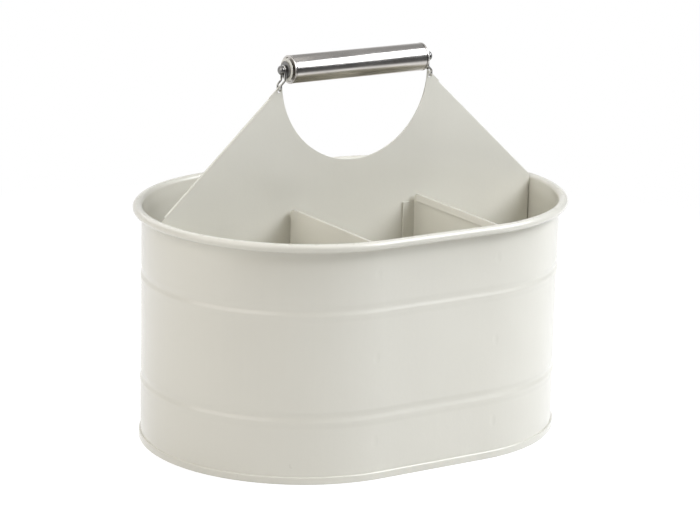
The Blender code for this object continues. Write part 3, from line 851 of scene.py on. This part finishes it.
class CARRIER_OT_make_hanger(bpy.types.Operator):
    """Make the rod with its discs, washers and dome nuts"""

    bl_idname = "carrier.make_hanger"
    bl_label = "Rod, discs and nuts"

    def execute(self, context):
        part = context.scene.carrier_handle
        rod = ROD_HIGH.z - GRIP_HEIGHT
        bore = rod + part.play
        half = ROD_HIGH.x
        line = [(-half, 0.0), (-half, rod), (half, rod), (half, 0.0)]
        add_piece("rod", turn_about_rod(rounded(line, part.edge), 1), finish_of("plated_steel"),
                  "hanger", "handle_rod")
        nut = NUT_HIGH.z - GRIP_HEIGHT
        nut_floor = half + part.play
        shoulder = NUT_LOW.x + part.nut_skirt
        dome = [(shoulder + (NUT_HIGH.x - shoulder) * up, nut * across)
                for across, up in arc((0, 0), 1.0, 0, pi / 2, steps=16)]
        dome[-1] = (NUT_HIGH.x, 0.0)
        nut_line = [(nut_floor, 0.0), (nut_floor, bore), (NUT_LOW.x, bore),
                    (NUT_LOW.x, nut - part.edge), (NUT_LOW.x + part.edge, nut), *dome]
        rings = (("disc", DISC_LOW, DISC_HIGH, "disc_enamel", "cream_paint", "spacer_disc"),
                 ("flat_washer", WASHER_LOW, WASHER_HIGH, "dull_plating", "plated_steel",
                  "washer"))
        for side, word in ((-1, "left"), (1, "right")):
            for name, low, high, finish, slot, node in rings:
                outside = high.z - GRIP_HEIGHT
                ring = [(low.x, bore), (low.x, outside), (high.x, outside), (high.x, bore)]
                work = turn_about_rod(rounded(ring, part.edge, closed=True), side)
                add_piece(f"{name}_{word}", work, finish_of(finish), "hanger",
                          f"{node}_{word}")
            add_piece(f"nut_{word}", turn_about_rod(nut_line, side), finish_of("dull_plating"),
                      "hanger", f"dome_nut_{word}")
        return {'FINISHED'}


class CARRIER_OT_make_links(bpy.types.Operator):
    """Bend the two wire links that hang the rod from the peaks"""

    bl_idname = "carrier.make_links"
    bl_label = "Links"

    def execute(self, context):
        part = context.scene.carrier_handle
        rise = GRIP_HEIGHT - SWING_HEIGHT
        lean = asin((part.link_eye - part.link_foot) / rise)
        foot = arc((0, 0), part.link_foot, -pi + lean, -lean, steps=28)
        eye = arc((0, rise), part.link_eye, -lean, pi + lean, steps=36)
        parts = 16
        strands = []
        for start, end in ((foot[-1], eye[0]), (eye[-1], foot[0])):
            shares = [step / parts for step in range(1, parts)]
            strands.append([(start[0] + (end[0] - start[0]) * share,
                             start[1] + (end[1] - start[1]) * share) for share in shares])
        line = foot + strands[0] + eye + strands[1]
        # The crank, where the strands step from the foot's place along X to the eye's: it starts
        # at a share of the foot's radius and ends at a share of the rise
        crank_start, crank_end = 0.55, 0.45
        low = part.link_foot * crank_start
        high = rise * crank_end
        outside = LINK_HIGH.x - part.link_wire
        inside = LINK_LOW.x + part.link_wire
        for side, word in ((-1, "left"), (1, "right")):
            curve = bpy.data.curves.new("link", 'CURVE')
            curve.dimensions = '3D'
            curve.bevel_depth = part.link_wire
            curve.bevel_resolution = 6
            spline = curve.splines.new('POLY')
            spline.points.add(len(line) - 1)
            spline.use_cyclic_u = True
            for point, (across, up) in zip(spline.points, line):
                share = min(max((up - low) / (high - low), 0.0), 1.0)
                share = share * share * (3 - 2 * share)
                out = outside + (inside - outside) * share
                point.co = (side * out, across, SWING_HEIGHT + up, 1.0)
            wire = bpy.data.objects.new("link", curve)
            bpy.context.scene.collection.objects.link(wire)
            graph = context.evaluated_depsgraph_get()
            work = bmesh.new()
            work.from_mesh(wire.evaluated_get(graph).to_mesh())
            bpy.data.objects.remove(wire, do_unlink=True)
            bmesh.ops.recalc_face_normals(work, faces=work.faces[:])
            add_piece(f"wire_link_{word}", work, finish_of("plated_steel"),
                      "hanger", f"link_{word}")
        return {'FINISHED'}


class CARRIER_OT_finish_frame(bpy.types.Operator):
    """Give the wire inside the rim its finish"""

    bl_idname = "carrier.finish_frame"
    bl_label = "Rim wire"

    def execute(self, context):
        mesh = frame["nodes"]["rim_wire"].data
        mesh.materials.clear()
        mesh.materials.append(finish_of("plated_steel"))
        return {'FINISHED'}


class CARRIER_OT_set_stage(bpy.types.Operator):
    """Set up the floor, the lights and the camera"""

    bl_idname = "carrier.set_stage"
    bl_label = "Studio"

    def execute(self, context):
        studio = context.scene.carrier_studio
        self.lay_floor(studio)
        self.light_world(studio)
        for name, (place, size, colour) in LAMPS.items():
            power = getattr(studio, f"{name}_power")
            self.hang_lamp(f"{name}_light", place, size, power, colour)
        self.set_camera(studio)
        context.scene.view_settings.view_transform = 'Standard'
        return {'FINISHED'}

    def lay_floor(self, studio):
        """A wide plain floor just under the carrier."""
        work = bmesh.new()
        bmesh.ops.create_grid(work, x_segments=1, y_segments=1, size=studio.floor_reach)
        bmesh.ops.translate(work, verts=work.verts[:], vec=(0, 0, -studio.floor_drop))
        mesh = bpy.data.meshes.new("floor")
        work.to_mesh(mesh)
        work.free()
        mesh.materials.append(make_floor_finish("floor", studio.floor))
        floor = bpy.data.objects.new("floor", mesh)
        bpy.context.scene.collection.objects.link(floor)

    def light_world(self, studio):
        """A white backdrop that lights the carrier as a dim room, brighter behind it.

        Metal and gloss see it white low down behind the carrier, and darker in front, overhead
        and far to the right. The ranges are parts of a ray's direction along Y, Z and X.
        """
        behind_range = (-0.8, 0.15)
        above_range = (-0.1, 0.5)
        beside_range = (0.6, 0.85)
        world = bpy.data.worlds.new("studio")
        bpy.context.scene.world = world
        world.use_nodes = True
        tree = world.node_tree
        way = add_node(tree, "ShaderNodeTexCoord").outputs["Generated"]
        apart = add_node(tree, "ShaderNodeSeparateXYZ", {0: way}).outputs
        behind = spread(tree, apart["Y"], 0.05, 1.0, *behind_range)
        above = spread(tree, apart["Z"], 1.0, 0.42, *above_range)
        beside = spread(tree, apart["X"], 1.0, 0.2, *beside_range)
        level = math_node(tree, 'MULTIPLY', math_node(tree, 'MULTIPLY', behind, above), beside)
        dim = math_node(tree, 'MULTIPLY', behind, studio.room)
        path = add_node(tree, "ShaderNodeLightPath").outputs
        mirrored = mirrored_rays(tree, path)
        shown = add_node(tree, "ShaderNodeMix", {0: mirrored, 2: dim, 3: level})
        final = add_node(tree, "ShaderNodeMix", {0: path["Is Camera Ray"], 2: shown.outputs[0],
                                                 3: 1.0})
        tree.links.new(final.outputs[0], tree.nodes["Background"].inputs["Strength"])
        tree.nodes["Background"].inputs["Color"].default_value = (1.0, 1.0, 1.0, 1.0)

    def hang_lamp(self, name, place, size, power, colour):
        """A rectangular soft light that looks at the middle of the tub."""
        light = bpy.data.lights.new(name, 'AREA')
        light.shape = 'RECTANGLE'
        light.size, light.size_y = size
        light.energy = power
        light.color = colour
        lamp = bpy.data.objects.new(name, light)
        lamp.location = place
        way = Vector((0, 0, WALL_HIGH.z / 2)) - lamp.location
        lamp.rotation_euler = way.to_track_quat('-Z', 'Y').to_euler()
        bpy.context.scene.collection.objects.link(lamp)

    def set_camera(self, studio):
        """Put the camera where the photograph was taken from."""
        turn, lift = studio.azimuth, studio.elevation
        ahead = Vector((-sin(turn) * cos(lift), cos(turn) * cos(lift), -sin(lift)))
        right = Vector((cos(turn), sin(turn), 0))
        up = right.cross(ahead)
        side = right * cos(studio.roll) + up * sin(studio.roll)
        above = up * cos(studio.roll) - right * sin(studio.roll)
        data = bpy.data.cameras.new("camera")
        data.sensor_width = 36.0
        data.lens = studio.lens
        data.shift_x, data.shift_y = studio.shift
        camera = bpy.data.objects.new("camera", data)
        rotation = Matrix((side, above, -ahead)).transposed().to_4x4()
        camera.matrix_world = Matrix.Translation(studio.place) @ rotation
        bpy.context.scene.collection.objects.link(camera)
        bpy.context.scene.camera = camera


class CARRIER_PT_panel(bpy.types.Panel):
    """Buttons that make the carrier piece by piece"""

    bl_idname = "CARRIER_PT_panel"
    bl_label = "Bottle Carrier"
    bl_space_type = 'VIEW_3D'
    bl_region_type = 'UI'
    bl_category = "Carrier"

    def draw(self, context):
        for operator in OPERATORS:
            self.layout.operator(operator.bl_idname, text=operator.bl_label)


SETTINGS = {
    "carrier_tub": TubSettings,
    "carrier_divider": DividerSettings,
    "carrier_handle": HandleSettings,
    "carrier_finish": FinishSettings,
    "carrier_studio": StudioSettings,
}
OPERATORS = (
    CARRIER_OT_make_wall,
    CARRIER_OT_make_base,
    CARRIER_OT_make_centre_divider,
    CARRIER_OT_make_cross_dividers,
    CARRIER_OT_make_grip,
    CARRIER_OT_make_hanger,
    CARRIER_OT_make_links,
    CARRIER_OT_finish_frame,
    CARRIER_OT_set_stage,
)


def register():
    """Register the settings, the operators and the panel."""
    for name, group in SETTINGS.items():
        bpy.utils.register_class(group)
        setattr(bpy.types.Scene, name, PointerProperty(type=group))
    for item in (*OPERATORS, CARRIER_PT_panel):
        bpy.utils.register_class(item)


def unregister():
    """Take everything out again."""
    for item in reversed((*OPERATORS, CARRIER_PT_panel)):
        bpy.utils.unregister_class(item)
    for name, group in reversed(SETTINGS.items()):
        delattr(bpy.types.Scene, name)
        bpy.utils.unregister_class(group)


def main():
    """Make the whole carrier in its studio."""
    register()
    for operator in OPERATORS:
        group, action = operator.bl_idname.split(".")
        getattr(getattr(bpy.ops, group), action)()


if __name__ == "__main__":
    main()
